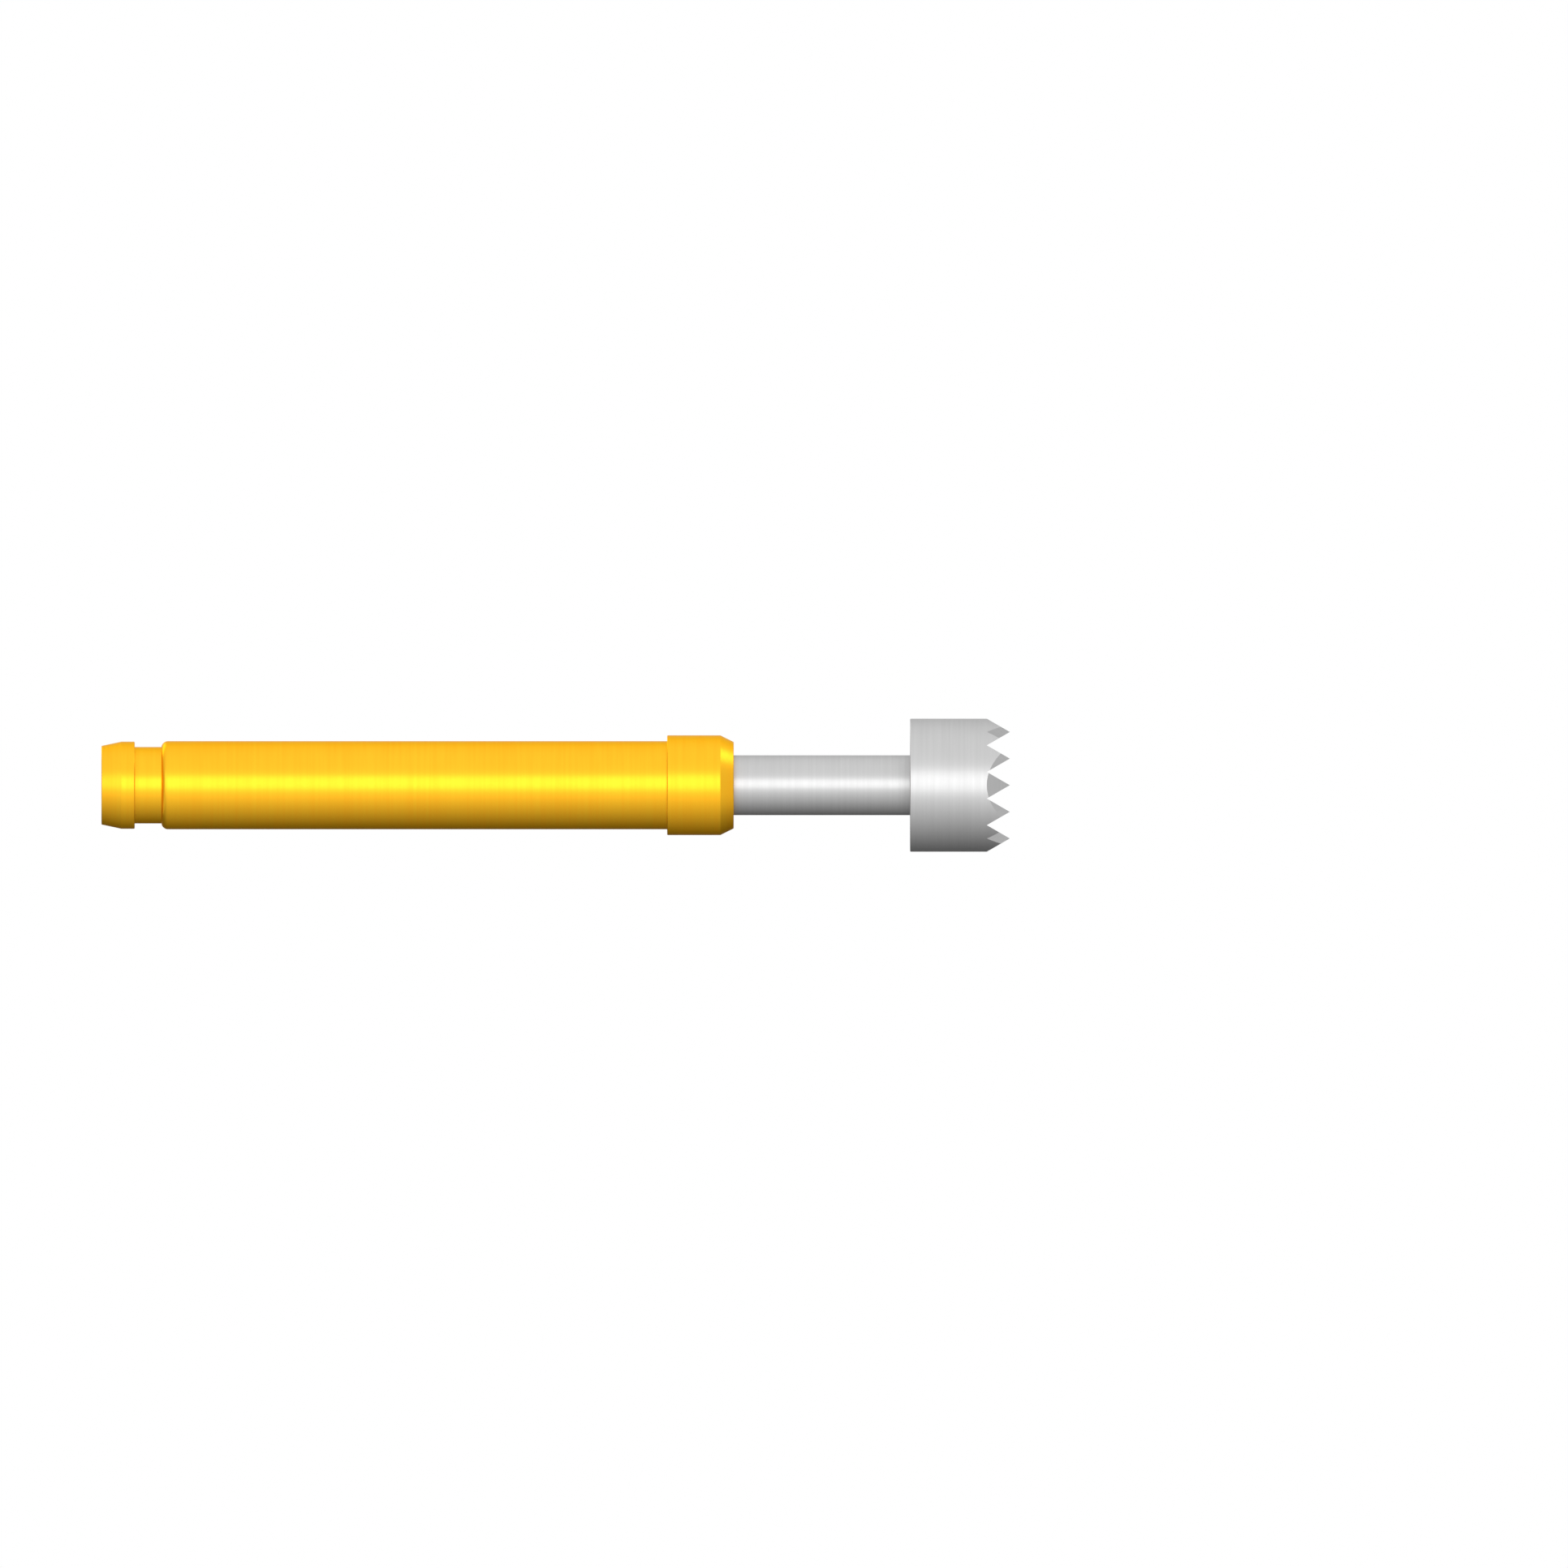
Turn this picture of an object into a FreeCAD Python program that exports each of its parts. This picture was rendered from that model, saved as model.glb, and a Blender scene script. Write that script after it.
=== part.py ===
"""A pogo pin: a spring-loaded contact with a turned barrel, a plunger with a crown head, and a spring.

The axis of the pin is Z, with the crown at the top. The origin is on the axis, in the plane of
the collar's rear face, which is the face that seats on the block that the pin is pushed into.
Lengths are in millimetres and angles in degrees.
"""

import FreeCAD
import Part
import math
import os

# Barrel: one turned tube. The diameters come out as 2.65 over the tube and 3 over the collar
BARREL_DIAMETER = 2.65
BARREL_WALL = 0.175
SHANK_LENGTH = 15.2
COLLAR_STEP = 0.175
COLLAR_LENGTH = 2.0
NOSE_LENGTH = 0.4
NOSE_DROP = 0.2
LIP_THICKNESS = 0.45
RIM_RADIUS = 0.2

# Tail plug: its spigot fills the bore, and its latch ring comes out at 2.62
SPIGOT_LENGTH = 1.5
NECK_LENGTH = 0.8
RING_LENGTH = 0.4
RING_STEP = 0.16
LEAD_LENGTH = 0.6
LEAD_ANGLE = 12.0

# Plunger: one turned piece. The shaft comes out at 1.8
SHAFT_EXPOSED = 5.3
LAND_STEP = 0.225
LAND_LENGTH = 4.0
BIAS_ANGLE = 12.0
HEAD_DIAMETER = 4.0
HEAD_LENGTH = 3.0
TOOTH_ROWS = 5
TOOTH_ANGLE = 60.0

# Ball and spring
BALL_PLAY = 0.15
SPRING_PLAY = 0.1
WIRE_DIAMETER = 0.25
ACTIVE_TURNS = 13
END_TURNS = 1
END_TURN_GAP = 0.03

# Clearances: across a sliding fit, along the axis where two pieces meet, and broken edges
SLIDE_CLEARANCE = 0.025
MOUTH_CLEARANCE = 0.03
CONTACT_GAP = 0.01
EDGE_BREAK = 0.03

# Nearer than this, two lengths are the same; a cutter reaches this far past what it cuts
SAME_LENGTH = 1e-6
CUTTER_REACH = 1.0

# Radii, from the outside in
BARREL_RADIUS = BARREL_DIAMETER / 2
COLLAR_RADIUS = BARREL_RADIUS + COLLAR_STEP
BORE_RADIUS = BARREL_RADIUS - BARREL_WALL
LAND_RADIUS = BORE_RADIUS - SLIDE_CLEARANCE
SHAFT_RADIUS = LAND_RADIUS - LAND_STEP
MOUTH_RADIUS = SHAFT_RADIUS + MOUTH_CLEARANCE
RING_RADIUS = BORE_RADIUS + RING_STEP
HEAD_RADIUS = HEAD_DIAMETER / 2
BALL_RADIUS = BORE_RADIUS - BALL_PLAY
COIL_RADIUS = BORE_RADIUS - SPRING_PLAY - WIRE_DIAMETER / 2

# Heights: the barrel and its plug
BARREL_REAR = -SHANK_LENGTH
BARREL_FRONT = COLLAR_LENGTH
SHOULDER_HEIGHT = BARREL_FRONT - LIP_THICKNESS
PLUG_FACE = BARREL_REAR + SPIGOT_LENGTH
RING_FRONT = BARREL_REAR - NECK_LENGTH
RING_REAR = RING_FRONT - RING_LENGTH
TAIL_END = RING_REAR - LEAD_LENGTH

# Heights: the plunger, and behind it the ball and the spring
LAND_FRONT = SHOULDER_HEIGHT - CONTACT_GAP
PLUNGER_TAIL = LAND_FRONT - LAND_LENGTH
HEAD_REAR = BARREL_FRONT + SHAFT_EXPOSED
CROWN_TIPS = HEAD_REAR + HEAD_LENGTH
BALL_CENTRE = PLUNGER_TAIL - (BALL_RADIUS + CONTACT_GAP) / math.cos(math.radians(BIAS_ANGLE))
SEAT_RADIUS = COIL_RADIUS - WIRE_DIAMETER / 2
SPRING_FRONT = BALL_CENTRE - math.sqrt(BALL_RADIUS**2 - SEAT_RADIUS**2) - CONTACT_GAP
SPRING_REAR = PLUG_FACE + CONTACT_GAP


def turned(outline):
    """Turn an outline of (radius, height) points about the pin's axis."""
    corners = [FreeCAD.Vector(radius, 0, height) for radius, height in outline]
    face = Part.Face(Part.makePolygon(corners + corners[:1]))
    return face.revolve(FreeCAD.Vector(0, 0, 0), FreeCAD.Vector(0, 0, 1), 360)


def rings(solid, places):
    """Find the circular edges of a turned solid at the given (radius, height) places."""
    found = []
    for edge in solid.Edges:
        if not isinstance(edge.Curve, Part.Circle):
            continue
        for radius, height in places:
            same_radius = abs(edge.Curve.Radius - radius) < SAME_LENGTH
            same_height = abs(edge.Curve.Center.z - height) < SAME_LENGTH
            if same_radius and same_height:
                found.append(edge)
    return found


def one_solid(shape):
    """Take the one solid out of a shape that a cut or a fillet has wrapped."""
    solids = shape.Solids
    if len(solids) != 1 or not solids[0].isValid():
        raise ValueError(f"expected one valid solid, and got {len(solids)}")
    return solids[0]


def bore_cutter():
    """A stepped reamer: the bore from the rear up to the lip, and the narrower mouth through the lip."""
    rear = BARREL_REAR - CUTTER_REACH
    front = BARREL_FRONT + CUTTER_REACH
    return turned([
        (0, rear),
        (BORE_RADIUS, rear),
        (BORE_RADIUS, SHOULDER_HEIGHT),
        (MOUTH_RADIUS, SHOULDER_HEIGHT),
        (MOUTH_RADIUS, front),
        (0, front),
    ])


def barrel():
    """The tube, with its collar, the lip rolled in at its mouth and the rim rolled over its rear."""
    nose_radius = COLLAR_RADIUS - NOSE_DROP
    bar = turned([
        (0, BARREL_REAR),
        (BARREL_RADIUS, BARREL_REAR),
        (BARREL_RADIUS, 0),
        (COLLAR_RADIUS, 0),
        (COLLAR_RADIUS, BARREL_FRONT - NOSE_LENGTH),
        (nose_radius, BARREL_FRONT),
        (0, BARREL_FRONT),
    ])
    rolled = bar.makeFillet(RIM_RADIUS, rings(bar, [(BARREL_RADIUS, BARREL_REAR)]))
    tube = one_solid(rolled.cut(bore_cutter()))
    sharp = [(COLLAR_RADIUS, 0), (nose_radius, BARREL_FRONT), (MOUTH_RADIUS, BARREL_FRONT)]
    return tube.makeChamfer(EDGE_BREAK, rings(tube, sharp))


def tail_plug():
    """The plug: a spigot in the bore, a neck for a latch, the latch ring and a lead-in cone."""
    end_radius = RING_RADIUS - LEAD_LENGTH * math.tan(math.radians(LEAD_ANGLE))
    plug = turned([
        (0, TAIL_END),
        (end_radius, TAIL_END),
        (RING_RADIUS, RING_REAR),
        (RING_RADIUS, RING_FRONT),
        (BORE_RADIUS, RING_FRONT),
        (BORE_RADIUS, PLUG_FACE),
        (0, PLUG_FACE),
    ])
    sharp = [(end_radius, TAIL_END), (RING_RADIUS, RING_FRONT), (BORE_RADIUS, PLUG_FACE)]
    return plug.makeChamfer(EDGE_BREAK, rings(plug, sharp))


def crown_cutter(quarter_turn):
    """A comb that leaves ridges along Y, or along X after a quarter turn, with grooves between them."""
    pitch = HEAD_DIAMETER / TOOTH_ROWS
    slope = 1 / math.tan(math.radians(TOOTH_ANGLE / 2))
    depth = pitch / 2 * slope
    above = CROWN_TIPS + CUTTER_REACH
    outermost = pitch * (TOOTH_ROWS - 1) / 2
    reach = outermost + pitch
    teeth = []
    for row in range(TOOTH_ROWS):
        tip = pitch * row - outermost
        teeth.append((tip, CROWN_TIPS))
        teeth.append((tip + pitch / 2, CROWN_TIPS - depth))
    teeth.pop()
    flank_end = CROWN_TIPS - (reach - outermost) * slope
    comb = [(-reach, above), (-reach, flank_end)] + teeth + [(reach, flank_end), (reach, above)]
    corners = [FreeCAD.Vector(across, -reach, height) for across, height in comb]
    face = Part.Face(Part.makePolygon(corners + corners[:1]))
    cutter = face.extrude(FreeCAD.Vector(0, 2 * reach, 0))
    if quarter_turn:
        cutter.rotate(FreeCAD.Vector(0, 0, 0), FreeCAD.Vector(0, 0, 1), 90)
    return cutter


def tail_cutter():
    """A block whose slanted top face cuts the plunger's tail at the bias angle."""
    size = 2 * LAND_LENGTH + 2 * BORE_RADIUS
    corner = FreeCAD.Vector(-size / 2, -size / 2, PLUNGER_TAIL - size)
    block = Part.makeBox(size, size, size, corner)
    block.rotate(FreeCAD.Vector(0, 0, PLUNGER_TAIL), FreeCAD.Vector(0, 1, 0), BIAS_ANGLE)
    return block


def plunger():
    """The plunger: guide land, shaft and head, its crown cut by two crossing sets of grooves."""
    land_end = PLUNGER_TAIL - LAND_RADIUS * math.tan(math.radians(BIAS_ANGLE)) - EDGE_BREAK
    blank = turned([
        (0, land_end),
        (LAND_RADIUS, land_end),
        (LAND_RADIUS, LAND_FRONT),
        (SHAFT_RADIUS, LAND_FRONT),
        (SHAFT_RADIUS, HEAD_REAR),
        (HEAD_RADIUS, HEAD_REAR),
        (HEAD_RADIUS, CROWN_TIPS + EDGE_BREAK),
        (0, CROWN_TIPS + EDGE_BREAK),
    ])
    sharp = [(LAND_RADIUS, LAND_FRONT), (HEAD_RADIUS, HEAD_REAR)]
    blank = blank.makeChamfer(EDGE_BREAK, rings(blank, sharp))
    for cutter in (tail_cutter(), crown_cutter(False), crown_cutter(True)):
        blank = blank.cut(cutter)
    return blank


def bias_ball():
    """The ball between the spring and the plunger's slanted tail, which pushes the plunger aside."""
    return Part.makeSphere(BALL_RADIUS, FreeCAD.Vector(0, 0, BALL_CENTRE))


def coil(pitch, turns, start):
    """One stretch of the wire's centre line, which begins and ends over the X axis."""
    stretch = Part.makeHelix(pitch, pitch * turns, COIL_RADIUS)
    stretch.translate(FreeCAD.Vector(0, 0, start))
    return stretch.Edges


def spring():
    """The coil spring, with closed end turns whose outer faces are ground flat across the wire."""
    length = SPRING_FRONT - SPRING_REAR
    end_pitch = WIRE_DIAMETER + END_TURN_GAP
    end_rise = end_pitch * END_TURNS
    active_pitch = (length - 2 * end_rise) / ACTIVE_TURNS
    path = coil(end_pitch, END_TURNS, SPRING_REAR)
    path += coil(active_pitch, ACTIVE_TURNS, SPRING_REAR + end_rise)
    path += coil(end_pitch, END_TURNS, SPRING_FRONT - end_rise)
    centre_line = Part.Wire(path)
    along = path[0].tangentAt(path[0].FirstParameter)
    section = Part.Circle(FreeCAD.Vector(COIL_RADIUS, 0, SPRING_REAR), along, WIRE_DIAMETER / 2)
    wound = centre_line.makePipeShell([Part.Wire([section.toShape()])], True, True)
    grinding = Part.makeCylinder(BORE_RADIUS, length, FreeCAD.Vector(0, 0, SPRING_REAR))
    return wound.common(grinding)


PIECES = {
    "barrel": barrel,
    "tail_plug": tail_plug,
    "plunger": plunger,
    "bias_ball": bias_ball,
    "spring": spring,
}

os.makedirs("parts", exist_ok=True)
for name, make in PIECES.items():
    piece = one_solid(make())
    piece.exportStep(f"parts/{name}.step")
    box = piece.BoundBox
    print(f"{name}: {piece.Volume:.3f} mm3, height {box.ZMin:.3f} to {box.ZMax:.3f}, width {box.XLength:.3f}")
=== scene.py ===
# %% [markdown]
# # A pogo pin
# A pogo pin is a small sprung contact. A gold-plated barrel is pushed into a block until its collar
# seats, and a nickel-plated plunger sticks out of its mouth. The plunger's crown of sharp points
# bites through dirt on whatever it touches, and a spring inside the barrel pushes it back out.
#
# Every piece here is turned, ground or wound, so each is a surface with a short formula: an outline
# carried round an axis, a height over a disc, or a circle carried along a helix. Lengths are written
# in millimetres, the unit that such pins are made to, and become metres when a mesh is made.

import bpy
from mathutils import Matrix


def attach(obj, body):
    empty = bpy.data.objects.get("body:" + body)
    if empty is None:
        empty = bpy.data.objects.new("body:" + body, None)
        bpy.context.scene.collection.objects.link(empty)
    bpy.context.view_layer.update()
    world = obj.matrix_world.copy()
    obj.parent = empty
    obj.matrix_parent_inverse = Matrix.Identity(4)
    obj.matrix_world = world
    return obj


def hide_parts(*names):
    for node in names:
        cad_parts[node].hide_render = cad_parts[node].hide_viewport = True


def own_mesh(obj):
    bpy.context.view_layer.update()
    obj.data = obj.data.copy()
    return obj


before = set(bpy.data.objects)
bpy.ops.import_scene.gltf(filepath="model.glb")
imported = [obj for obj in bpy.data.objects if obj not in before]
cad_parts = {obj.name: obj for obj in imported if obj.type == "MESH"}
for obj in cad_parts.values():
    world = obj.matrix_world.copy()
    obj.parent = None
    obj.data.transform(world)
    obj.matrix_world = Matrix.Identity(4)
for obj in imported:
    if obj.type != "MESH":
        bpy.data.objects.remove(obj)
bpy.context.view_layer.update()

# %% [markdown]
# ## Libraries
# numpy works out every surface as whole arrays. It has no triangulation that keeps given lines as
# edges, which the crown needs, so that comes from Blender's own geometry library.

# %% Libraries
import math

import bpy
import numpy as np
from mathutils.geometry import delaunay_2d_cdt

# %% [markdown]
# ## Sizes
# The pin's axis is Z, the crown is at the top, and the origin lies in the collar's rear face. These
# are the sizes that the solids were made to. Radii and heights follow from them, so that a piece
# lies where its solid does.

# %% Sizes
MM = 0.001
BARREL_RADIUS, COLLAR_RADIUS, BORE_RADIUS = 1.325, 1.5, 1.15
SHANK_LENGTH, COLLAR_LENGTH = 15.2, 2.0
NOSE_LENGTH, NOSE_DROP = 0.4, 0.2
MOUTH_RADIUS, LIP_THICKNESS = 0.93, 0.45
RIM_RADIUS = 0.2
SPIGOT_LENGTH, NECK_LENGTH, RING_LENGTH, LEAD_LENGTH = 1.5, 0.8, 0.4, 0.6
RING_RADIUS, LEAD_ANGLE = 1.31, 12.0
SHAFT_RADIUS, SHAFT_EXPOSED = 0.9, 5.3
LAND_RADIUS, LAND_LENGTH, BIAS_ANGLE = 1.125, 4.0, 12.0
HEAD_RADIUS, HEAD_LENGTH = 2.0, 3.0
TOOTH_ROWS, TOOTH_ANGLE = 5, 60.0
BALL_RADIUS = 1.0
WIRE_RADIUS, COIL_RADIUS = 0.125, 0.925
ACTIVE_TURNS, END_TURNS, END_PITCH = 13, 1, 0.28
CONTACT_GAP = 0.01
EDGE_BREAK = 0.03
CREASE = 0.01

BARREL_REAR = -SHANK_LENGTH
SHOULDER_HEIGHT = COLLAR_LENGTH - LIP_THICKNESS
PLUG_FACE = BARREL_REAR + SPIGOT_LENGTH
RING_FRONT = BARREL_REAR - NECK_LENGTH
RING_REAR = RING_FRONT - RING_LENGTH
TAIL_END = RING_REAR - LEAD_LENGTH
LAND_FRONT = SHOULDER_HEIGHT - CONTACT_GAP
PLUNGER_TAIL = LAND_FRONT - LAND_LENGTH
HEAD_REAR = COLLAR_LENGTH + SHAFT_EXPOSED
CROWN_TIPS = HEAD_REAR + HEAD_LENGTH
BIAS = math.radians(BIAS_ANGLE)
BALL_CENTRE = PLUNGER_TAIL - (BALL_RADIUS + CONTACT_GAP) / math.cos(BIAS)
SEAT_DEPTH = math.sqrt(BALL_RADIUS**2 - (COIL_RADIUS - WIRE_RADIUS) ** 2)
SPRING_FRONT = BALL_CENTRE - SEAT_DEPTH - CONTACT_GAP
SPRING_REAR = PLUG_FACE + CONTACT_GAP
print("length over all:", round(CROWN_TIPS - TAIL_END, 3), "mm")

# %% [markdown]
# ## Rounded corners
# No edge on a turned part is a knife edge: the tool leaves a small break, and plating rounds it a
# little more. That thin arc is what catches the light. A bevel modifier could make it, but an
# outline that already holds its arcs keeps each radius exact and costs no modifier.

# %% Rounded outline
ARC_STEPS = 6
FLAT_MARGIN = 0.004


def rounded_outline(points, radii):
    """Round each inner corner of an open outline of (radius, height) points.

    With u and v the unit directions from a corner to its neighbours and a the angle between them,
    the arc of radius r begins r / tan(a/2) along u and ends as far along v, and its centre is
    r / sin(a/2) along the bisector. Its points blend the two end directions on a great circle.
    One more point beside each end of an arc keeps the flat runs flat when they are shaded smooth.
    """
    points = np.asarray(points, float)
    radii = np.asarray(radii, float)[:, None]
    corner = points[1:-1]
    u = points[:-2] - corner
    v = points[2:] - corner
    u /= np.linalg.norm(u, axis=1, keepdims=True)
    v /= np.linalg.norm(v, axis=1, keepdims=True)
    half = np.arccos(np.clip((u * v).sum(1, keepdims=True), -1, 1)) / 2
    reach = radii / np.tan(half)
    bisector = (u + v) / np.linalg.norm(u + v, axis=1, keepdims=True)
    centre = corner + bisector * radii / np.sin(half)
    start = (corner + u * reach - centre)[:, None]
    end = (corner + v * reach - centre)[:, None]
    sweep = (math.pi - 2 * half)[:, None]
    t = np.linspace(0, 1, ARC_STEPS + 1)[None, :, None]
    arc = (np.sin((1 - t) * sweep) * start + np.sin(t * sweep) * end) / np.sin(sweep)
    before = (corner + u * (reach + FLAT_MARGIN))[:, None]
    after = (corner + v * (reach + FLAT_MARGIN))[:, None]
    return np.concatenate([before, centre[:, None] + arc, after], axis=1).reshape(-1, 2)


# %% [markdown]
# ## Turning
# A lathe carries one outline round the axis. Run up the outside and down the inside, the outline
# leaves every face pointing out of the metal. A solid piece closes on the axis with a fan of
# triangles, and a tube closes on itself. Spinning an edge with Blender's own tool would do the same,
# but a grid of known size lets the head and the crown share their rim point for point.

# %% Points and faces of a turned surface
FACETS = 288
ROUND = (np.arange(FACETS) + 0.5) * 2 * math.pi / FACETS


def turned_points(outline, angles):
    """Points x = r cos a, y = r sin a, z = height, as outline point by angle by 3."""
    radius, height = outline[:, :1], outline[:, 1:]
    x, y = radius * np.cos(angles), radius * np.sin(angles)
    return np.stack([x, y, np.broadcast_to(height, x.shape)], axis=-1)


def grid_faces(rows, columns, closed_rows=False):
    """Quads between neighbours of a rows by columns grid whose columns run right round."""
    lower = np.arange(rows if closed_rows else rows - 1)
    upper = (lower + 1) % rows
    left = np.arange(columns)
    right = (left + 1) % columns
    a = lower[:, None] * columns + left
    b = lower[:, None] * columns + right
    c = upper[:, None] * columns + right
    d = upper[:, None] * columns + left
    return np.stack([a, b, c, d], axis=-1).reshape(-1, 4)


def fan(ring, pole, upwards):
    """Triangles from a ring of vertex numbers to one pole, facing up or down the axis."""
    following = np.roll(ring, -1)
    pair = (ring, following) if upwards else (following, ring)
    return np.stack([*pair, np.full_like(ring, pole)], axis=-1)


# %% [markdown]
# ## From arrays to a piece
# A piece is a mesh at the origin, with its place in its points. Shading is smooth, and an edge that
# turns by more than the crease angle stays sharp, which the crown's facets and the ground tail need.

# %% Making a piece
CREASE_ANGLE = math.radians(28)


def new_piece(name, points, faces):
    """Make a mesh piece from points in millimetres and one or more arrays of faces."""
    mesh = bpy.data.meshes.new(name)
    every_face = [face for block in faces for face in block.tolist()]
    mesh.from_pydata((points.reshape(-1, 3) * MM).tolist(), [], every_face)
    mesh.validate()
    mesh.shade_smooth()
    mesh.set_sharp_from_angle(angle=CREASE_ANGLE)
    piece = bpy.data.objects.new(name, mesh)
    bpy.context.scene.collection.objects.link(piece)
    print(f"{name}: {len(mesh.vertices)} points, {len(mesh.polygons)} faces")
    return piece


def solid_of_revolution(name, outline, bottom, top):
    """Turn an outline that runs from one height on the axis to another, with a pole at each end."""
    rows = len(outline)
    poles = np.array([[0, 0, bottom], [0, 0, top]], float)
    points = np.concatenate([turned_points(outline, ROUND).reshape(-1, 3), poles])
    first_ring = np.arange(FACETS)
    last_ring = first_ring + (rows - 1) * FACETS
    pole = rows * FACETS
    faces = [grid_faces(rows, FACETS), fan(first_ring, pole, False), fan(last_ring, pole + 1, True)]
    return new_piece(name, points, faces)


# %% [markdown]
# ## The barrel
# The barrel is one turned and plated tube. Its collar stops it in the block, its mouth is rolled in
# round the plunger's shaft, and its rear rim is rolled over the tail plug. The outline runs up the
# outside, in over the mouth and back down the bore. The rim's arc is larger than the wall, so it is
# set in by itself, from where it meets the bore.

# %% Barrel
NOSE_RADIUS = COLLAR_RADIUS - NOSE_DROP
RIM_TOP = BARREL_REAR + RIM_RADIUS
barrel_corners = [
    ((BARREL_RADIUS, 0), CREASE),
    ((COLLAR_RADIUS, 0), EDGE_BREAK),
    ((COLLAR_RADIUS, COLLAR_LENGTH - NOSE_LENGTH), EDGE_BREAK),
    ((NOSE_RADIUS, COLLAR_LENGTH), EDGE_BREAK),
    ((MOUTH_RADIUS, COLLAR_LENGTH), EDGE_BREAK),
    ((MOUTH_RADIUS, SHOULDER_HEIGHT), CREASE),
    ((BORE_RADIUS, SHOULDER_HEIGHT), CREASE),
]


def rolled_rim():
    """The rim's arc: centre + R (cos t, sin t), from where it meets the bore to level at t = 0."""
    inner = BARREL_RADIUS - RIM_RADIUS
    t = np.linspace(-math.acos((BORE_RADIUS - inner) / RIM_RADIUS), 0, 2 * ARC_STEPS + 1)
    arc = np.stack([np.cos(t), np.sin(t)], axis=1) * RIM_RADIUS + [inner, RIM_TOP]
    return np.concatenate([arc, [(BARREL_RADIUS, RIM_TOP + FLAT_MARGIN)]])


rim_arc = rolled_rim()
corners = [corner for corner, _ in barrel_corners]
radii = [radius for _, radius in barrel_corners]
barrel_outline = np.concatenate([
    rim_arc,
    rounded_outline([rim_arc[-1]] + corners + [rim_arc[0]], radii),
])
barrel = new_piece(
    "gold_barrel",
    turned_points(barrel_outline, ROUND),
    [grid_faces(len(barrel_outline), FACETS, closed_rows=True)],
)

# %% [markdown]
# ## The tail plug
# The plug closes the tube. Its spigot is pressed into the bore, and behind the rim it shows a neck,
# a latch ring that a clip snaps over, and a lead-in cone. It is a solid bar, so its outline starts
# and ends on the axis.

# %% Tail plug
LEAD_RADIUS = RING_RADIUS - LEAD_LENGTH * math.tan(math.radians(LEAD_ANGLE))
plug_outline = rounded_outline(
    [
        (0, TAIL_END),
        (LEAD_RADIUS, TAIL_END),
        (RING_RADIUS, RING_REAR),
        (RING_RADIUS, RING_FRONT),
        (BORE_RADIUS, RING_FRONT),
        (BORE_RADIUS, PLUG_FACE),
        (0, PLUG_FACE),
    ],
    [EDGE_BREAK, EDGE_BREAK, EDGE_BREAK, CREASE, EDGE_BREAK],
)
tail_plug = solid_of_revolution("gold_tail_plug", plug_outline, TAIL_END, PLUG_FACE)

# %% [markdown]
# ## The crown
# The crown is cut by two crossing sets of V grooves, which leave square points. Booleans with
# wedges would do it, but the result has a formula: the height falls away from the nearest point at
# the same slope along X and Y, and the larger of the two falls counts. The surface only bends
# along the grooves, along the rows of points and along the diagonals, so the disc is split along
# those lines and nowhere else, and every flank stays one flat facet.

# %% Crown surface
PITCH = 2 * HEAD_RADIUS / TOOTH_ROWS
FLANK_SLOPE = 1 / math.tan(math.radians(TOOTH_ANGLE / 2))
GROOVE_DEPTH = PITCH / 2 * FLANK_SLOPE


def crown_height(x, y):
    """The tips' height, less the slope times the larger distance, in X or Y, to the nearest tip."""
    last = (TOOTH_ROWS - 1) // 2
    nearest = [np.clip(np.round(value / PITCH), -last, last) * PITCH for value in (x, y)]
    fall = np.maximum(np.abs(x - nearest[0]), np.abs(y - nearest[1]))
    return CROWN_TIPS - FLANK_SLOPE * fall


def bend_lines():
    """Each line where the crown bends, as the two angles at which it crosses the head's rim.

    A line whose normal points at angle n, at a distance d from the axis, meets the circle of radius
    R at n - acos(d / R) and n + acos(d / R).
    """
    straight = np.arange(-TOOTH_ROWS + 1, TOOTH_ROWS) * PITCH / 2
    slanted = np.arange(-TOOTH_ROWS, TOOTH_ROWS + 1) * PITCH / math.sqrt(2)
    slanted = slanted[np.abs(slanted) < HEAD_RADIUS]
    normal = np.concatenate([
        np.full(straight.shape, 0.0),
        np.full(straight.shape, math.pi / 2),
        np.full(slanted.shape, math.pi / 4),
        np.full(slanted.shape, 3 * math.pi / 4),
    ])
    distance = np.concatenate([straight, straight, slanted, slanted])
    opening = np.arccos(distance / HEAD_RADIUS)
    return np.stack([normal - opening, normal + opening], axis=1) % (2 * math.pi)


# %% [markdown]
# The rim has a point at each even step round the head and one where each line crosses it. Two that
# fall together count once. The triangulation then splits the disc along the rim and the lines, adds
# a point where lines cross, and says which rim point each of its points came from.

# %% Crown facets
SAME_ANGLE_DIGITS = 9
SAME_PLACE = 1e-7
FILL_THE_OUTLINE = 0
crossings = bend_lines()
rim_angles, where = np.unique(
    np.round(np.concatenate([crossings.ravel(), ROUND]), SAME_ANGLE_DIGITS), return_inverse=True
)
rim = np.stack([np.cos(rim_angles), np.sin(rim_angles)], axis=1) * HEAD_RADIUS
rim_edges = np.stack([np.arange(len(rim)), np.roll(np.arange(len(rim)), -1)], axis=1)
bends = where[: crossings.size].reshape(-1, 2)
disc, _, disc_faces, origins, _, _ = delaunay_2d_cdt(
    rim.tolist(), np.concatenate([rim_edges, bends]).tolist(), [], FILL_THE_OUTLINE, SAME_PLACE
)
disc = np.array(disc)
on_rim = np.array([origin[0] if origin else -1 for origin in origins])
print("crown:", len(disc), "points,", len(disc_faces), "facets, depth", round(GROOVE_DEPTH, 3), "mm")

# %% [markdown]
# ## The plunger
# Head, shaft and guide land are one turned piece. Its rings use the rim's angles all the way down,
# so the crown joins the head's side point for point. The tail is ground at a slant, which makes the
# ball behind it press the plunger against the barrel's wall: a good contact needs that side load.

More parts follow.
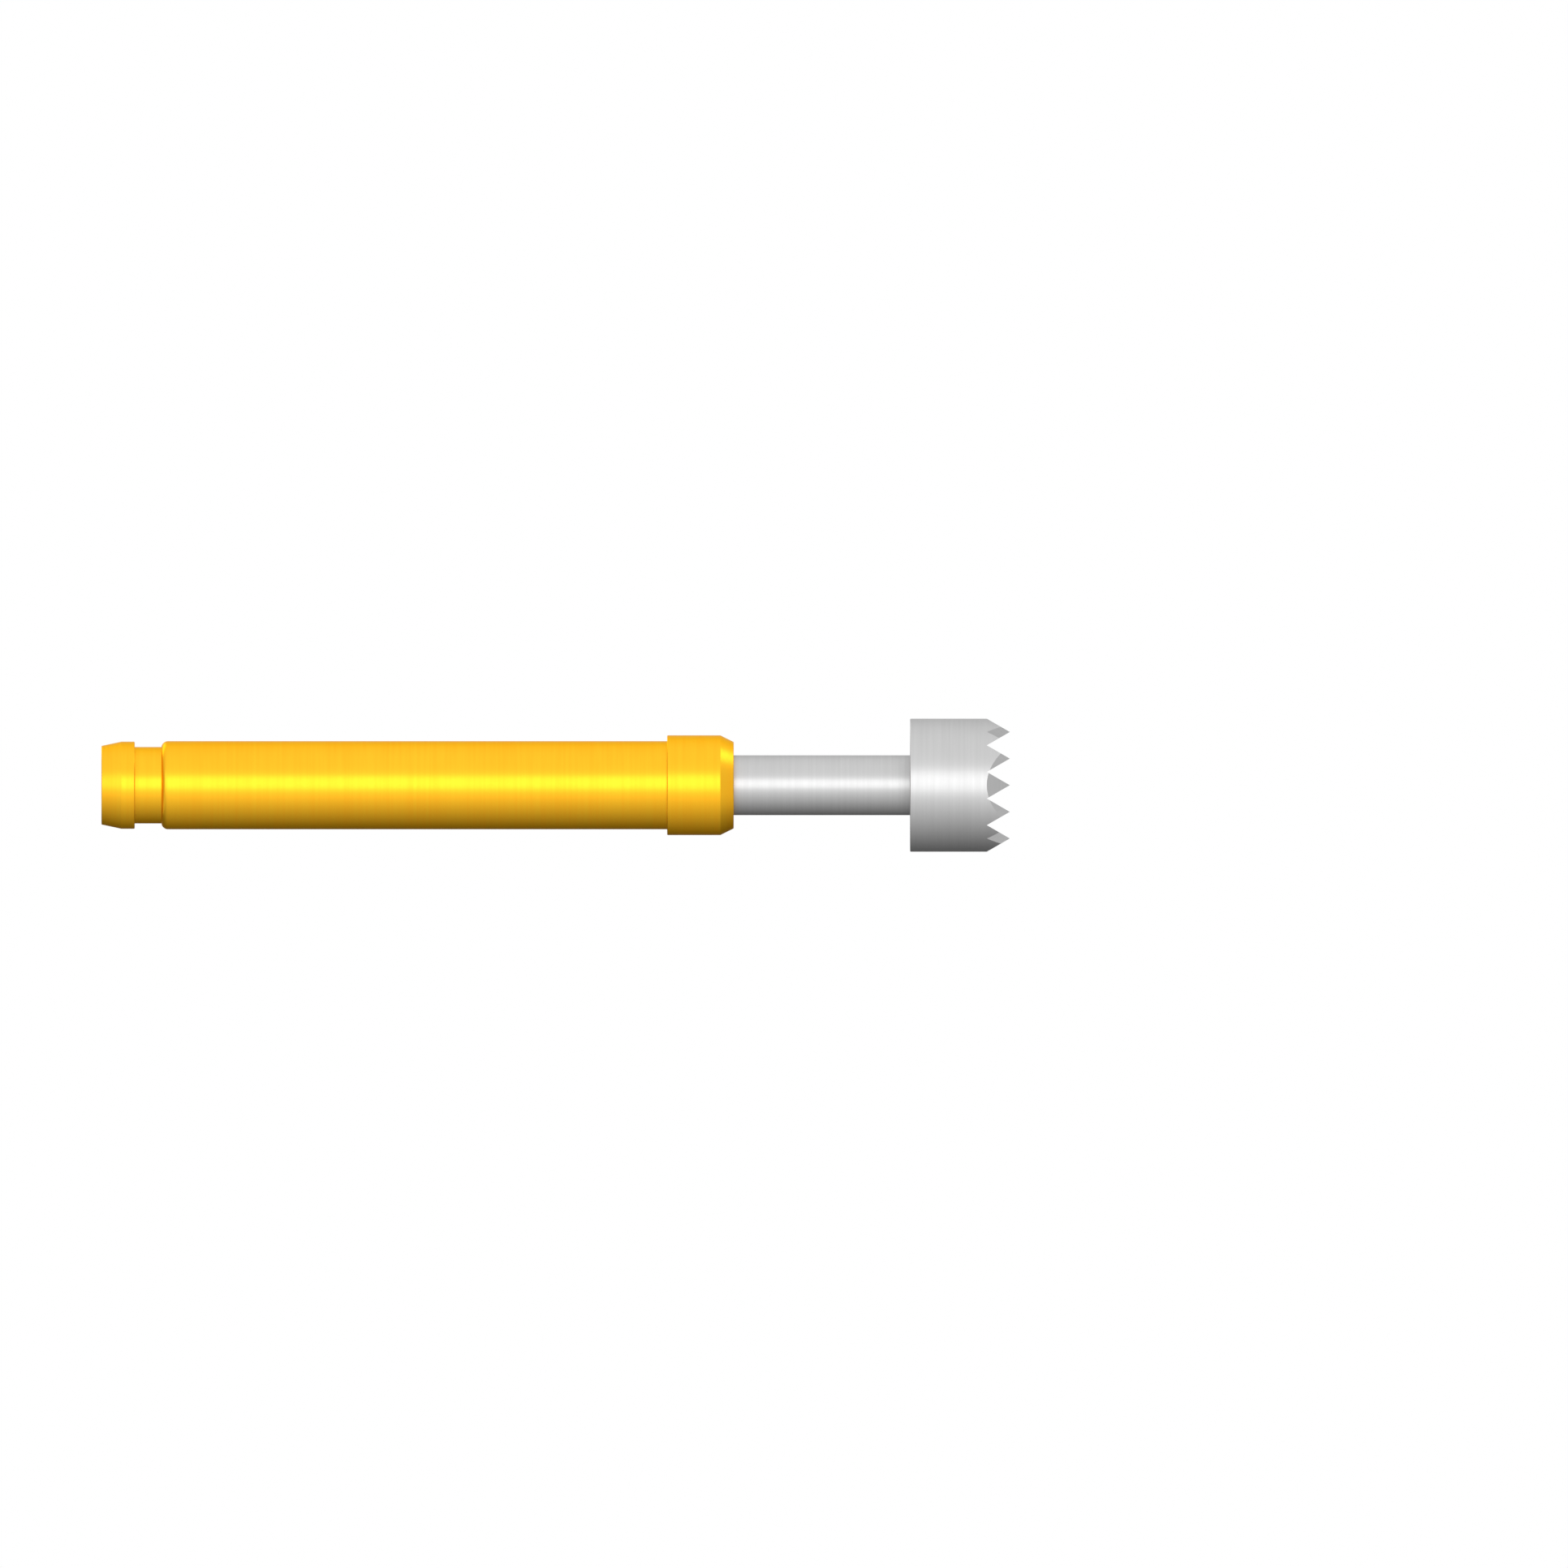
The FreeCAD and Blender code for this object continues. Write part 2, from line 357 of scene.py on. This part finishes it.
# %% Plunger's side
SKIRT_TOP = CROWN_TIPS - GROOVE_DEPTH - EDGE_BREAK
plunger_outline = rounded_outline(
    [
        (0, PLUNGER_TAIL),
        (LAND_RADIUS, PLUNGER_TAIL),
        (LAND_RADIUS, LAND_FRONT),
        (SHAFT_RADIUS, LAND_FRONT),
        (SHAFT_RADIUS, HEAD_REAR),
        (HEAD_RADIUS, HEAD_REAR),
        (HEAD_RADIUS, SKIRT_TOP),
    ],
    [EDGE_BREAK, EDGE_BREAK, CREASE, CREASE, EDGE_BREAK],
)
plunger_outline = np.concatenate([plunger_outline, [(HEAD_RADIUS, SKIRT_TOP)]])
side = turned_points(plunger_outline, rim_angles)
slanted_rows = plunger_outline[:, 1] < PLUNGER_TAIL + LAND_LENGTH / 2
side[..., 2] -= np.where(slanted_rows[:, None], side[..., 0] * math.tan(BIAS), 0)
print("plunger's side:", side.shape[0], "rings of", side.shape[1], "points")

# %% [markdown]
# The last ring of the side is the crown's own rim, so the two share their points there. The points
# are numbered ring by ring, then the pole of the tail, then the crown's inner points, and the
# crown's facets are renumbered to match.

# %% Plunger
columns = len(rim_angles)
rows = len(plunger_outline)
crown = np.column_stack([disc, crown_height(disc[:, 0], disc[:, 1])])
crown_rim = np.empty((columns, 3))
crown_rim[on_rim[on_rim >= 0]] = crown[on_rim >= 0]
tail_pole = np.array([[0, 0, PLUNGER_TAIL]])
inner = crown[on_rim < 0]
plunger_points = np.concatenate([side.reshape(-1, 3), crown_rim, tail_pole, inner])

pole_number = (rows + 1) * columns
number = np.empty(len(disc), int)
number[on_rim >= 0] = rows * columns + on_rim[on_rim >= 0]
number[on_rim < 0] = pole_number + 1 + np.arange(len(inner))
side_faces = grid_faces(rows + 1, columns)
tail_faces = fan(np.arange(columns), pole_number, False)
crown_faces = number[np.array(disc_faces)]
plunger = new_piece("nickel_plunger", plunger_points, [side_faces, tail_faces, crown_faces])

# %% [markdown]
# ## The ball
# A steel ball sits between the plunger's slanted tail and the spring. A half circle from pole to
# pole, carried round the axis, gives a sphere with no seam.

# %% Ball
BALL_ROWS = 96
latitude = np.linspace(-math.pi / 2, math.pi / 2, BALL_ROWS + 1)[1:-1]
half_circle = np.stack([np.cos(latitude), np.sin(latitude)], axis=1) * BALL_RADIUS + [0, BALL_CENTRE]
ball = solid_of_revolution(
    "steel_ball", half_circle, BALL_CENTRE - BALL_RADIUS, BALL_CENTRE + BALL_RADIUS
)

# %% [markdown]
# ## The spring
# The spring is a wire on a helix, wound close for the last turn at each end and then ground flat,
# so that it stands square on the plug. A curve with a bevel could make it, but working out the wire's
# rings keeps the ground faces exact: what the grinding wheel removes is clipped to its plane.

# %% Spring's path
STEPS_A_TURN = 64
turns = ACTIVE_TURNS + 2 * END_TURNS
end_rise = END_TURNS * END_PITCH
spring_height = SPRING_FRONT - SPRING_REAR
turn = np.linspace(0, turns, turns * STEPS_A_TURN + 1)
wire_height = SPRING_REAR + np.interp(
    turn,
    [0, END_TURNS, turns - END_TURNS, turns],
    [0, end_rise, spring_height - end_rise, spring_height],
)
print("spring:", turns, "turns,", round(spring_height, 2), "mm high")

# %% Spring
WIRE_SIDES = 20


def wire_rings(turn, height):
    """Rings round a helix: centre (R cos a, R sin a, z), spread along the radius and the binormal.

    The binormal is the tangent crossed with the radius, so each ring stands square to the wire.
    """
    angle = 2 * math.pi * turn
    radial = np.stack([np.cos(angle), np.sin(angle), np.zeros_like(angle)], axis=1)
    centre = COIL_RADIUS * radial + np.stack([np.zeros_like(angle)] * 2 + [height], axis=1)
    tangent = np.gradient(centre, axis=0)
    tangent /= np.linalg.norm(tangent, axis=1, keepdims=True)
    binormal = np.cross(tangent, radial)
    around = (np.arange(WIRE_SIDES) * 2 * math.pi / WIRE_SIDES)[None, :, None]
    spread = np.cos(around) * radial[:, None] - np.sin(around) * binormal[:, None]
    return centre[:, None] + WIRE_RADIUS * spread, centre


wire, wire_centre = wire_rings(turn, wire_height)
spring_points = np.concatenate([wire.reshape(-1, 3), wire_centre[[0, -1]]])
spring_points[:, 2] = np.clip(spring_points[:, 2], SPRING_REAR, SPRING_FRONT)
wire_start = np.arange(WIRE_SIDES)
wire_end = wire_start + (len(turn) - 1) * WIRE_SIDES
wire_pole = len(turn) * WIRE_SIDES
spring = new_piece(
    "wound_spring",
    spring_points,
    [
        grid_faces(len(turn), WIRE_SIDES),
        fan(wire_start, wire_pole, False),
        fan(wire_end, wire_pole + 1, True),
    ],
)

# %% [markdown]
# ## Node helpers
# A material is a tree of nodes, and most of its nodes do one small sum. These helpers place such a
# node, join what goes into it, whether that is another node's output or a plain number, and hand
# back its output, so that a formula reads as one line.

# %% Node helpers


def new_group(name, inputs, outputs):
    """Start a shader node group with float inputs (name, value) and named float outputs."""
    group = bpy.data.node_groups.new(name, "ShaderNodeTree")
    for title, value in inputs:
        socket = group.interface.new_socket(title, in_out="INPUT", socket_type="NodeSocketFloat")
        socket.default_value = value
    for title in outputs:
        group.interface.new_socket(title, in_out="OUTPUT", socket_type="NodeSocketFloat")
    return group, group.nodes.new("NodeGroupInput"), group.nodes.new("NodeGroupOutput")


def join(tree, source, target):
    """Join an output socket, or a plain number, to an input socket."""
    if isinstance(source, (int, float)):
        target.default_value = source
    else:
        tree.links.new(source, target)


def math_node(tree, operation, *values):
    """A Math node on sockets or numbers; gives back its output."""
    node = tree.nodes.new("ShaderNodeMath")
    node.operation = operation
    for value, socket in zip(values, node.inputs):
        join(tree, value, socket)
    return node.outputs[0]


def noise_node(tree, vector, scale, detail):
    """A soft noise from 0 to 1; gives back its value."""
    node = tree.nodes.new("ShaderNodeTexNoise")
    node.inputs["Scale"].default_value = scale
    node.inputs["Detail"].default_value = detail
    tree.links.new(vector, node.inputs["Vector"])
    return node.outputs["Fac"]


def ramp_node(tree, value, low, high, out_low=0.0, out_high=1.0):
    """A smooth step: out_low below low and out_high above high."""
    node = tree.nodes.new("ShaderNodeMapRange")
    node.interpolation_type = "SMOOTHSTEP"
    for source, title in ((value, "Value"), (low, "From Min"), (high, "From Max"),
                          (out_low, "To Min"), (out_high, "To Max")):
        join(tree, source, node.inputs[title])
    return node.outputs["Result"]


# %% [markdown]
# ## Tool marks
# A turned surface carries the path of the tool: fine rings round the axis on the sides, and circles
# on the faces. Height plus radius is a coordinate that changes across the rings in both places, so
# one noise along it draws them all. A slow change round the axis keeps the rings from being perfect.
# The effect is a node group, because gold and nickel both use it, with other strengths.

# %% Tool mark group
PER_MM = 1 / MM
RING_DETAIL = 3.0
tool_marks, marks_in, marks_out = new_group(
    "tool marks", [("Rings per mm", 30.0), ("Wander", 0.25)], ["Marks"]
)
position = tool_marks.nodes.new("ShaderNodeTexCoord").outputs["Object"]
split = tool_marks.nodes.new("ShaderNodeSeparateXYZ")
tool_marks.links.new(position, split.inputs[0])
x_mm, y_mm, z_mm = (math_node(tool_marks, "MULTIPLY", axis, PER_MM) for axis in split.outputs)
squares = math_node(tool_marks, "ADD", math_node(tool_marks, "MULTIPLY", x_mm, x_mm),
                    math_node(tool_marks, "MULTIPLY", y_mm, y_mm))
radius_mm = math_node(tool_marks, "SQRT", squares)
across_rings = math_node(tool_marks, "MULTIPLY", math_node(tool_marks, "ADD", z_mm, radius_mm),
                         marks_in.outputs["Rings per mm"])
along_x = math_node(tool_marks, "MULTIPLY", x_mm, marks_in.outputs["Wander"])
along_y = math_node(tool_marks, "MULTIPLY", y_mm, marks_in.outputs["Wander"])
ring_space = tool_marks.nodes.new("ShaderNodeCombineXYZ")
for source, socket in zip((along_x, along_y, across_rings), ring_space.inputs):
    tool_marks.links.new(source, socket)
rings = noise_node(tool_marks, ring_space.outputs[0], 1.0, RING_DETAIL)
tool_marks.links.new(rings, marks_out.inputs["Marks"])
print("tool marks:", len(tool_marks.nodes), "nodes")

# %% [markdown]
# ## Plating tone
# Plating isn't perfectly even: thickness, handling and air leave soft clouds a millimetre or two
# wide, and a fine grain. Both are masks from 0 to 1, which each metal uses to shift its colour and
# its gloss by a little.

# %% Plating tone group
plating, plating_in, plating_out = new_group(
    "plating tone", [("Cloud size mm", 1.6), ("Grain size mm", 0.05)], ["Cloud", "Grain"]
)
plating_position = plating.nodes.new("ShaderNodeTexCoord").outputs["Object"]


def scaled_noise(tree, vector, size_mm, detail):
    """Noise whose features are about size_mm wide."""
    scale = tree.nodes.new("ShaderNodeVectorMath")
    scale.operation = "SCALE"
    tree.links.new(vector, scale.inputs[0])
    join(tree, math_node(tree, "DIVIDE", PER_MM, size_mm), scale.inputs["Scale"])
    return noise_node(tree, scale.outputs[0], 1.0, detail)


for title, detail in (("Cloud", 2.0), ("Grain", 1.0)):
    size = plating_in.outputs[f"{title} size mm"]
    plating.links.new(scaled_noise(plating, plating_position, size, detail), plating_out.inputs[title])
print("plating tone:", len(plating.nodes), "nodes")

# %% [markdown]
# ## Metals
# A plated metal is a Principled shader with Metallic at 1: its base colour is the colour of its
# reflection. Tool marks and clouds move that colour and the roughness by a few hundredths, and a
# faint bump from the marks spreads the highlight along the pin, as on a real turned part. Noise
# seldom leaves its middle range, so a smooth step from 0.3 to 0.7 uses both tones fully.

# %% Plated metal
CLOUDS_IN_TONE, MARKS_IN_TONE = 0.35, 0.65
GRAIN_IN_GLOSS, MARKS_IN_GLOSS = 0.4, 0.6
NOISE_LOW, NOISE_HIGH = 0.3, 0.7


def group_node(tree, group, **values):
    """Place a node group in a material with its own input values."""
    node = tree.nodes.new("ShaderNodeGroup")
    node.node_tree = group
    for title, value in values.items():
        node.inputs[title.replace("_", " ")].default_value = value
    return node


def weighed(tree, first, first_share, second, second_share):
    """The sum of two masks, each times its share."""
    return math_node(tree, "ADD", math_node(tree, "MULTIPLY", first, first_share),
                     math_node(tree, "MULTIPLY", second, second_share))


def plated_metal(name, light, deep, gloss, rings_per_mm, mark_height_mm,
                 edge=(1.0, 1.0, 1.0), cloud_size_mm=1.6):
    """A metal between two tones, with a (smooth, rough) gloss pair and tool marks of a given height."""
    material = bpy.data.materials.new(name)
    material.use_nodes = True
    tree = material.node_tree
    shader = tree.nodes["Principled BSDF"]
    shader.inputs["Metallic"].default_value = 1.0
    shader.inputs["Specular Tint"].default_value = (*edge, 1)
    marks = group_node(tree, tool_marks, Rings_per_mm=rings_per_mm).outputs["Marks"]
    tone = group_node(tree, plating, Cloud_size_mm=cloud_size_mm)
    amount = weighed(tree, tone.outputs["Cloud"], CLOUDS_IN_TONE, marks, MARKS_IN_TONE)
    colour = tree.nodes.new("ShaderNodeMix")
    colour.data_type = "RGBA"
    tree.links.new(ramp_node(tree, amount, NOISE_LOW, NOISE_HIGH), colour.inputs["Factor"])
    colour.inputs["A"].default_value = (*light, 1)
    colour.inputs["B"].default_value = (*deep, 1)
    tree.links.new(colour.outputs["Result"], shader.inputs["Base Color"])
    worn = weighed(tree, marks, MARKS_IN_GLOSS, tone.outputs["Grain"], GRAIN_IN_GLOSS)
    tree.links.new(ramp_node(tree, worn, NOISE_LOW, NOISE_HIGH, *gloss), shader.inputs["Roughness"])
    bump = tree.nodes.new("ShaderNodeBump")
    bump.inputs["Strength"].default_value = 1.0
    bump.inputs["Distance"].default_value = mark_height_mm * MM
    tree.links.new(marks, bump.inputs["Height"])
    tree.links.new(bump.outputs["Normal"], shader.inputs["Normal"])
    print(f"{name}: {len(tree.nodes)} nodes, roughness {gloss[0]} to {gloss[1]}")
    return material


# %% [markdown]
# The two tones of each plating lie a few hundredths apart, round the colour that the pin shows. The
# edge colour is what the metal reflects at a grazing angle. The crown's flanks were ground after
# turning, so their marks are finer and they are a little duller.

# %% The five finishes
gold = plated_metal("gold plate", light=(1.0, 0.530, 0.0230), deep=(1.0, 0.488, 0.0195),
                    edge=(0.80, 0.67, 0.43), gloss=(0.30, 0.35), rings_per_mm=9,
                    mark_height_mm=0.0008)
nickel = plated_metal("nickel plate", light=(0.552, 0.552, 0.552), deep=(0.521, 0.521, 0.521),
                      edge=(0.72, 0.72, 0.72), gloss=(0.35, 0.40), rings_per_mm=11,
                      mark_height_mm=0.0006)
ground_nickel = plated_metal("ground nickel plate", light=(0.545, 0.545, 0.545),
                             deep=(0.518, 0.518, 0.518), edge=(0.72, 0.72, 0.72),
                             gloss=(0.38, 0.44), rings_per_mm=40, mark_height_mm=0.0004)
ball_steel = plated_metal("polished ball steel", light=(0.62, 0.62, 0.63), deep=(0.58, 0.58, 0.59),
                          gloss=(0.06, 0.10), rings_per_mm=6, mark_height_mm=0.00005)
spring_steel = plated_metal("drawn spring wire", light=(0.52, 0.52, 0.51), deep=(0.44, 0.44, 0.43),
                            gloss=(0.28, 0.42), rings_per_mm=18, mark_height_mm=0.0004,
                            cloud_size_mm=0.5)

# %% [markdown]
# Each piece takes one finish, and the plunger two. The crown's facets are the last faces of its
# mesh, so their finish is set by their number.

# %% Finishes on the pieces
for piece, material in ((barrel, gold), (tail_plug, gold), (plunger, nickel), (ball, ball_steel),
                        (spring, spring_steel)):
    piece.data.materials.append(material)
plunger.data.materials.append(ground_nickel)
crown_start = len(plunger.data.polygons) - len(crown_faces)
finish_number = (np.arange(len(plunger.data.polygons)) >= crown_start).astype(np.int32)
plunger.data.polygons.foreach_set("material_index", finish_number)
print("crown facets with the ground finish:", finish_number.sum())

# %% [markdown]
# ## Riding on the solids
# Each piece stands for one solid and moves with its body: the barrel and plug stay, the ball and
# plunger slide in together, and the plunger also turns. The real spring shortens as the stroke goes
# in; here it is held by the plug and rides with the barrel, on a mesh of its own.

# %% Bodies
for piece, node, body, slot in (
    (barrel, "barrel", "barrel", "gold_plate"),
    (tail_plug, "tail_plug", "barrel", "gold_plate"),
    (plunger, "plunger", "plunger", "nickel_plate"),
    (ball, "bias_ball", "ball", "ball_steel"),
    (spring, "spring", "barrel", "spring_steel"),
):
    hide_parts(node)
    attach(piece, body)

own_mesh(spring)

# %% [markdown]
# ## The floor
# The pin stands on a plain pale floor. From straight in front the floor is seen edge on, so the
# background there is the white of the world behind it. Reflections don't see the floor, and it
# throws no shadow of its own, so it takes nothing from the light on the pin.

# %% Floor
FLOOR_REACH = 1.5
FLOOR_GREY = 0.9
corner_signs = np.array([[-1, -1], [1, -1], [1, 1], [-1, 1]], float)
floor_points = np.column_stack([corner_signs * FLOOR_REACH, np.full(4, TAIL_END * MM)])
floor_mesh = bpy.data.meshes.new("floor")
floor_mesh.from_pydata(floor_points.tolist(), [], [(0, 1, 2, 3)])
floor = bpy.data.objects.new("floor", floor_mesh)
bpy.context.scene.collection.objects.link(floor)
paper = bpy.data.materials.new("pale floor")
paper.use_nodes = True
paper.node_tree.nodes.clear()
matt = paper.node_tree.nodes.new("ShaderNodeBsdfDiffuse")
matt.inputs["Color"].default_value = (FLOOR_GREY, FLOOR_GREY, FLOOR_GREY, 1)
paper_output = paper.node_tree.nodes.new("ShaderNodeOutputMaterial")
paper.node_tree.links.new(matt.outputs[0], paper_output.inputs["Surface"])
floor_mesh.materials.append(paper)
floor.visible_glossy = False
floor.visible_shadow = False
print("floor:", 2 * FLOOR_REACH, "m a side, at", round(TAIL_END, 2), "mm")

# %% [markdown]
# ## Light
# Metal shows its surroundings, so its light is made of surfaces, as in a studio. The world is white
# to the camera and all round in reflections, which see it dimmed only overhead and underfoot: that
# sets slanted faces and small edges off from the sides. Everything else gets its soft light.

# %% World
SOFT_LIGHT = 0.65
ROOM_LEVEL, STEEP_DIM, STEEP_POWER = 1.12, 0.55, 3.0
WHITE = (1, 1, 1, 1)


def mixed(tree, share, first, second):
    """A blend of two numbers: first where share is 0, and second where it is 1."""
    node = tree.nodes.new("ShaderNodeMix")
    for value, title in ((share, "Factor"), (first, "A"), (second, "B")):
        join(tree, value, node.inputs[title])
    return node.outputs["Result"]


def dimmed_when_steep(tree, upward):
    """The room's level in reflections: room * (1 - dim * |z| ^ power), with z the direction's rise."""
    steepness = math_node(tree, "POWER", math_node(tree, "ABSOLUTE", upward), STEEP_POWER)
    loss = math_node(tree, "MULTIPLY", steepness, ROOM_LEVEL * STEEP_DIM)
    return math_node(tree, "SUBTRACT", ROOM_LEVEL, loss)


world = bpy.data.worlds.new("white studio")
bpy.context.scene.world = world
world.cycles.sampling_method = "NONE"
world.use_nodes = True
sky = world.node_tree
sky.nodes.clear()
rays = sky.nodes.new("ShaderNodeLightPath").outputs
direction = sky.nodes.new("ShaderNodeSeparateXYZ")
sky.links.new(sky.nodes.new("ShaderNodeTexCoord").outputs["Generated"], direction.inputs[0])
in_metal = math_node(sky, "MAXIMUM", rays["Is Glossy Ray"], rays["Is Transmission Ray"])
unseen = mixed(sky, in_metal, SOFT_LIGHT, dimmed_when_steep(sky, direction.outputs["Z"]))
strength = mixed(sky, rays["Is Camera Ray"], unseen, 1.0)
background = sky.nodes.new("ShaderNodeBackground")
sky.links.new(strength, background.inputs["Strength"])
background.inputs["Color"].default_value = WHITE
sky.links.new(background.outputs[0], sky.nodes.new("ShaderNodeOutputWorld").inputs["Surface"])
print("world:", len(sky.nodes), "nodes, level in reflections", ROOM_LEVEL)

# %% [markdown]
# Lamps add to the world. A tall soft one in front gives the bright band down the pin's middle, and
# one at the side and above lights the nose. Two low ones do the same for views from above and from
# behind, and the last one only throws the floor's shadow. Each is given by where the pin sees it and
# how bright it looks there, which is easier to judge than a size and a power.

# %% Lamps
LAMP_DISTANCE = 0.18


def soft_lamp(name, bearing, elevation, opening, radiance, mirrored=True):
    """A rectangular lamp that faces the pin, which sees it under two angles: across and up.

    A side is 2 d tan(angle / 2) at the distance d, and the power is radiance * pi * area. The
    bearing is measured round the axis from -Y, where the camera is, towards +X. A lamp that isn't
    mirrored lights the floor, and reflections don't show it.
    """
    across, tall = 2 * LAMP_DISTANCE * np.tan(np.radians(opening) / 2)
    around, up = math.radians(bearing), math.radians(elevation)
    data = bpy.data.lights.new(name, "AREA")
    data.shape = "RECTANGLE"
    data.size, data.size_y = across, tall
    data.energy = radiance * math.pi * across * tall
    lamp = bpy.data.objects.new(name, data)
    lamp.location = np.array([
        math.sin(around) * math.cos(up), -math.cos(around) * math.cos(up), math.sin(up)
    ]) * LAMP_DISTANCE
    lamp.rotation_euler = (math.pi / 2 - up, 0, around)
    lamp.visible_camera = False
    lamp.visible_glossy = mirrored
    bpy.context.scene.collection.objects.link(lamp)
    print(f"{name}: {across / MM:.0f} by {tall / MM:.0f} mm, {data.energy:.4f} W")


soft_lamp("band lamp", bearing=-6.5, elevation=0, opening=(33, 47), radiance=1.1)
soft_lamp("low front lamp", bearing=-12, elevation=-42, opening=(33, 22), radiance=1.05)
soft_lamp("low back lamp", bearing=215, elevation=-32, opening=(26, 28), radiance=1.2)
soft_lamp("nose lamp", bearing=-90, elevation=38, opening=(25, 22), radiance=1.45)
soft_lamp("floor lamp", bearing=-60, elevation=60, opening=(40, 40), radiance=3.0, mirrored=False)

# %% [markdown]
# ## The graded surround
# A cylinder is dull in an even white room, because every part of its side shows the same white. A
# grey wall therefore curves round the pin, from beside the camera past the back to the other side,
# and only reflections see it. Its grey is a smooth function of the bearing, so each side of the pin
# shows its own gradient, and a long soft dark flank runs down the pin away from the bright band.

# %% Surround
WALL_DISTANCE, WALL_HALF_HEIGHT, WALL_STEPS = 0.2, 0.25, 96
WALL_START, WALL_DARKEST, WALL_END = 22.0, 158.0, 290.0
wall_bearings = np.radians(np.linspace(WALL_START, WALL_END, WALL_STEPS + 1))
wall_foot = np.stack([np.sin(wall_bearings), -np.cos(wall_bearings)], axis=1) * WALL_DISTANCE
wall_points = np.concatenate([
    np.column_stack([wall_foot, np.full(WALL_STEPS + 1, height)])
    for height in (-WALL_HALF_HEIGHT, WALL_HALF_HEIGHT)
])
step = np.arange(WALL_STEPS)
wall_faces = np.stack([step, step + 1, step + WALL_STEPS + 2, step + WALL_STEPS + 1], axis=1)
wall_mesh = bpy.data.meshes.new("graded surround")
wall_mesh.from_pydata(wall_points.tolist(), [], wall_faces.tolist())
wall = bpy.data.objects.new("graded_surround", wall_mesh)
bpy.context.scene.collection.objects.link(wall)
for ray in ("camera", "diffuse", "shadow", "transmission", "volume_scatter"):
    setattr(wall, f"visible_{ray}", False)
print("surround:", len(wall_faces), "faces, from", WALL_START, "to", WALL_END, "degrees")

# %% [markdown]
# The grey falls from white to its darkest along a power curve, steep at first and then level. Behind
# the pin it rises quickly to a light grey, and from there slowly back to white. The wall is dimmed
# overhead and underfoot as the world is, so that no edge shows between the two. No lamp samples are
# spent on it, because nothing but a reflection sees it.

# %% Graded grey
DARKEST, FALL_POWER = 0.12, 1.8
QUICK_SHARE, QUICK_END, SLOW_START = 0.80, 200.0, 186.0
grey = bpy.data.materials.new("graded grey")
grey.use_nodes = True
grey.cycles.emission_sampling = "NONE"
shade = grey.node_tree
shade.nodes.clear()
place = shade.nodes.new("ShaderNodeTexCoord").outputs["Object"]
on_wall = shade.nodes.new("ShaderNodeSeparateXYZ")
shade.links.new(place, on_wall.inputs[0])
toward_camera = math_node(shade, "MULTIPLY", on_wall.outputs["Y"], -1.0)
turned_by = math_node(shade, "ARCTAN2", on_wall.outputs["X"], toward_camera)
bearing_now = math_node(shade, "WRAP", turned_by, 2 * math.pi, 0.0)
start, darkest, quick_end, slow_start, end = (
    math.radians(bearing) for bearing in (WALL_START, WALL_DARKEST, QUICK_END, SLOW_START, WALL_END)
)
still_to_fall = shade.nodes.new("ShaderNodeMapRange")
shade.links.new(bearing_now, still_to_fall.inputs["Value"])
for title, value in (("From Min", start), ("From Max", darkest), ("To Min", 1.0), ("To Max", 0.0)):
    still_to_fall.inputs[title].default_value = value
falling = math_node(shade, "POWER", still_to_fall.outputs["Result"], FALL_POWER)
quick = ramp_node(shade, bearing_now, darkest, quick_end, 0.0, QUICK_SHARE)
slow = ramp_node(shade, bearing_now, slow_start, end, 0.0, 1 - QUICK_SHARE)
share = math_node(shade, "ADD", falling, math_node(shade, "ADD", quick, slow))
level = math_node(shade, "ADD", math_node(shade, "MULTIPLY", share, 1 - DARKEST), DARKEST)
outward = shade.nodes.new("ShaderNodeVectorMath")
outward.operation = "NORMALIZE"
shade.links.new(place, outward.inputs[0])
rise = shade.nodes.new("ShaderNodeSeparateXYZ")
shade.links.new(outward.outputs[0], rise.inputs[0])
glow = shade.nodes.new("ShaderNodeEmission")
dimmed = math_node(shade, "MULTIPLY", level, dimmed_when_steep(shade, rise.outputs["Z"]))
shade.links.new(dimmed, glow.inputs["Strength"])
shade.links.new(glow.outputs[0], shade.nodes.new("ShaderNodeOutputMaterial").inputs["Surface"])
wall_mesh.materials.append(grey)
print("graded grey:", len(shade.nodes), "nodes, darkest", DARKEST)

# %% [markdown]
# ## Camera
# The reference view has no perspective, so the camera is orthographic. Its width comes from the
# view's scale, 41 pixels to the millimetre over 1932 pixels, and it is rolled by a quarter turn,
# because that view lays the pin on its side with the crown at the right.

# %% Camera
PICTURE_PIXELS = 1932
PIXELS_PER_MM = 41.0
TAIL_PIXEL, AXIS_PIXEL = 125.0, 967.5
CAMERA_DISTANCE, NEAREST_SEEN = 0.12, 0.0012
picture_centre = PICTURE_PIXELS / 2
centre_height = TAIL_END + (picture_centre - TAIL_PIXEL) / PIXELS_PER_MM
centre_drop = (AXIS_PIXEL - picture_centre) / PIXELS_PER_MM
camera_data = bpy.data.cameras.new("camera")
camera_data.type = "ORTHO"
camera_data.ortho_scale = PICTURE_PIXELS / PIXELS_PER_MM * MM
camera_data.clip_start = NEAREST_SEEN
camera = bpy.data.objects.new("camera", camera_data)
camera.location = (-centre_drop * MM, -CAMERA_DISTANCE, centre_height * MM)
camera.rotation_euler = (math.pi / 2, -math.pi / 2, 0)
bpy.context.scene.collection.objects.link(camera)
bpy.context.scene.camera = camera
bpy.context.scene.view_settings.view_transform = "Standard"
print("camera: sees", round(PICTURE_PIXELS / PIXELS_PER_MM, 2), "mm")
